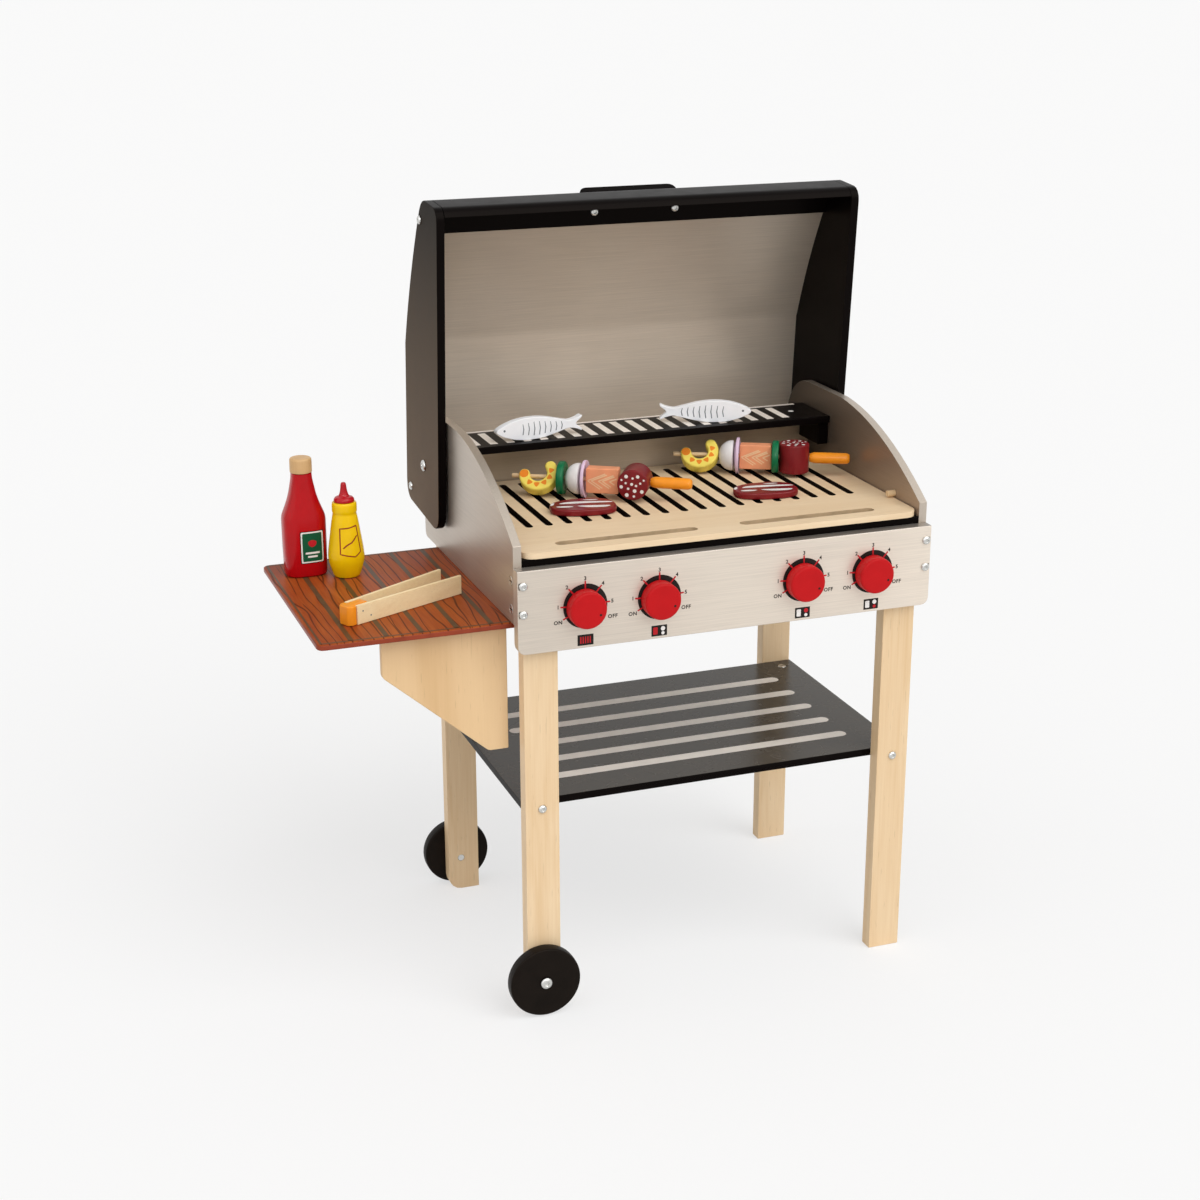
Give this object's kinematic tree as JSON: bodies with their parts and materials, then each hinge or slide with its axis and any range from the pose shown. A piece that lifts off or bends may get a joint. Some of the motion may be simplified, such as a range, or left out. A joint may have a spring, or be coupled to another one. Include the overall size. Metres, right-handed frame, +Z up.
{
  "type": "toy barbecue grill",
  "caption": "Child's wooden play barbecue on four legs with a tilting hood, turning knobs, wheels, a side table, a lower shelf and loose play food.",
  "frame": {"origin": "on the floor, under the middle of the whole toy's footprint", "axes": "+X to the child's right, away from the side table; +Y from the control panel to the back; +Z up"},
  "size_m": [0.5346, 0.3112, 0.6592],
  "materials": {
    "birch": "clear matt lacquer over pale solid wood",
    "plywood": "clear matt lacquer, plies at the edges",
    "silver_paint": "satin silver metallic paint",
    "hood_paint": "satin silver-brown metallic paint",
    "black_paint": "satin black paint",
    "shelf_paint": "satin dark grey paint with printed stripes",
    "redwood": "satin red-brown printed planks",
    "zinc": "bright zinc plate",
    "knob_red": "satin red paint",
    "ketchup_red": "gloss red paint",
    "mustard_yellow": "gloss yellow paint",
    "cap_red": "gloss red paint",
    "orange_paint": "gloss orange paint",
    "fish_white": "gloss white paint with grey print",
    "steak_red": "satin dark red paint with pale print",
    "prawn_yellow": "satin yellow paint",
    "pepper_green": "gloss green paint",
    "mushroom_white": "satin off-white paint",
    "onion_lilac": "satin lilac paint",
    "salmon_pink": "satin salmon paint with pale print",
    "salami_red": "satin dark red paint with pale spots"
  },
  "bodies": {
    "frame": {"front_left_leg": "birch", "front_right_leg": "birch", "back_left_leg": "birch", "back_right_leg": "birch", "control_panel": "silver_paint", "left_side_panel": "silver_paint", "right_side_panel": "silver_paint", "back_panel": "silver_paint", "firebox_floor": "black_paint", "grill_plate": "birch", "left_plate_peg": "birch", "right_plate_peg": "birch", "rear_rack": "black_paint", "left_rack_cleat": "black_paint", "right_rack_cleat": "black_paint", "side_table": "redwood", "table_bracket": "plywood", "lower_shelf": "shelf_paint", "front_axle": "zinc", "back_axle": "zinc", "left_hood_pivot": "zinc", "right_hood_pivot": "zinc"},
    "hood": {"hood_left_panel": "black_paint", "hood_right_panel": "black_paint", "hood_front_board": "black_paint", "hood_rail": "black_paint", "hood_sheet": "hood_paint", "hood_back_bar": "black_paint", "hood_handle": "black_paint"},
    "front_wheel": {"front_wheel": "black_paint"},
    "back_wheel": {"back_wheel": "black_paint"},
    "left_outer_knob": {"left_outer_knob": "knob_red"},
    "left_inner_knob": {"left_inner_knob": "knob_red"},
    "right_inner_knob": {"right_inner_knob": "knob_red"},
    "right_outer_knob": {"right_outer_knob": "knob_red"},
    "ketchup": {"ketchup_bottle": "ketchup_red", "ketchup_cap": "birch"},
    "mustard": {"mustard_bottle": "mustard_yellow", "mustard_cap": "cap_red"},
    "tongs": {"tongs_block": "orange_paint"},
    "tongs_front_blade": {"tongs_front_blade": "plywood"},
    "tongs_back_blade": {"tongs_back_blade": "plywood"},
    "left_fish": {"left_fish": "fish_white"},
    "right_fish": {"right_fish": "fish_white"},
    "left_steak": {"left_steak": "steak_red"},
    "right_steak": {"right_steak": "steak_red"},
    "left_skewer": {"left_skewer_prawn": "prawn_yellow", "left_skewer_pepper": "pepper_green", "left_skewer_mushroom": "mushroom_white", "left_skewer_onion": "onion_lilac", "left_skewer_salmon": "salmon_pink", "left_skewer_salami": "salami_red", "left_skewer_stick": "orange_paint"},
    "right_skewer": {"right_skewer_prawn": "prawn_yellow", "right_skewer_mushroom": "mushroom_white", "right_skewer_onion": "onion_lilac", "right_skewer_salmon": "salmon_pink", "right_skewer_pepper": "pepper_green", "right_skewer_salami": "salami_red", "right_skewer_stick": "orange_paint"}
  },
  "joints": [
    {"name": "hood_hinge", "type": "hinge", "parent": "frame", "child": "hood", "pos_m": [0.0727, 0.09316, 0.4253], "axis": [-1, 0, 0], "range_deg": [-81.4, 0]},
    {"name": "front_wheel_spin", "type": "hinge", "parent": "frame", "child": "front_wheel", "pos_m": [-0.091, -0.13885, 0.032], "axis": [0, 1, 0], "continuous": true},
    {"name": "back_wheel_spin", "type": "hinge", "parent": "frame", "child": "back_wheel", "pos_m": [-0.091, 0.12895, 0.032], "axis": [0, 1, 0], "continuous": true},
    {"name": "left_outer_knob_turn", "type": "hinge", "parent": "frame", "child": "left_outer_knob", "pos_m": [-0.0548, -0.14945, 0.362], "axis": [0, -1, 0], "continuous": true},
    {"name": "left_inner_knob_turn", "type": "hinge", "parent": "frame", "child": "left_inner_knob", "pos_m": [0.0087, -0.14945, 0.362], "axis": [0, -1, 0], "continuous": true},
    {"name": "right_inner_knob_turn", "type": "hinge", "parent": "frame", "child": "right_inner_knob", "pos_m": [0.1367, -0.14945, 0.362], "axis": [0, -1, 0], "continuous": true},
    {"name": "right_outer_knob_turn", "type": "hinge", "parent": "frame", "child": "right_outer_knob", "pos_m": [0.2002, -0.14945, 0.362], "axis": [0, -1, 0], "continuous": true},
    {"name": "ketchup_lift", "type": "slide", "parent": "frame", "child": "ketchup", "axis": [0, 0, 1], "range_m": [0, 0.1]},
    {"name": "mustard_lift", "type": "slide", "parent": "frame", "child": "mustard", "axis": [0, 0, 1], "range_m": [0, 0.1]},
    {"name": "tongs_lift", "type": "slide", "parent": "frame", "child": "tongs", "axis": [0, 0, 1], "range_m": [0, 0.08]},
    {"name": "tongs_squeeze", "type": "hinge", "parent": "tongs", "child": "tongs_front_blade", "pos_m": [-0.23505, -0.09008, 0.358], "axis": [0, 0, 1], "range_deg": [0, 2.9], "stiffness_Nm_per_rad": 0.05},
    {"name": "tongs_squeeze_back", "type": "hinge", "parent": "tongs", "child": "tongs_back_blade", "pos_m": [-0.23955, -0.0816, 0.358], "axis": [0, 0, -1], "range_deg": [0, 2.9], "stiffness_Nm_per_rad": 0.05},
    {"name": "left_fish_lift", "type": "slide", "parent": "frame", "child": "left_fish", "axis": [0, 0, 1], "range_m": [0, 0.08]},
    {"name": "right_fish_lift", "type": "slide", "parent": "frame", "child": "right_fish", "axis": [0, 0, 1], "range_m": [0, 0.08]},
    {"name": "left_steak_lift", "type": "slide", "parent": "frame", "child": "left_steak", "axis": [0, 0, 1], "range_m": [0, 0.1]},
    {"name": "right_steak_lift", "type": "slide", "parent": "frame", "child": "right_steak", "axis": [0, 0, 1], "range_m": [0, 0.1]},
    {"name": "left_skewer_draw", "type": "slide", "parent": "frame", "child": "left_skewer", "axis": [0, -0.9119, 0.4104], "range_m": [0, 0.09]},
    {"name": "right_skewer_draw", "type": "slide", "parent": "frame", "child": "right_skewer", "axis": [0, -0.9654, 0.2607], "range_m": [0, 0.09]}
  ],
  "couplings": [
    {"joint": "tongs_squeeze_back", "follows": "tongs_squeeze", "ratio": 1}
  ]
}
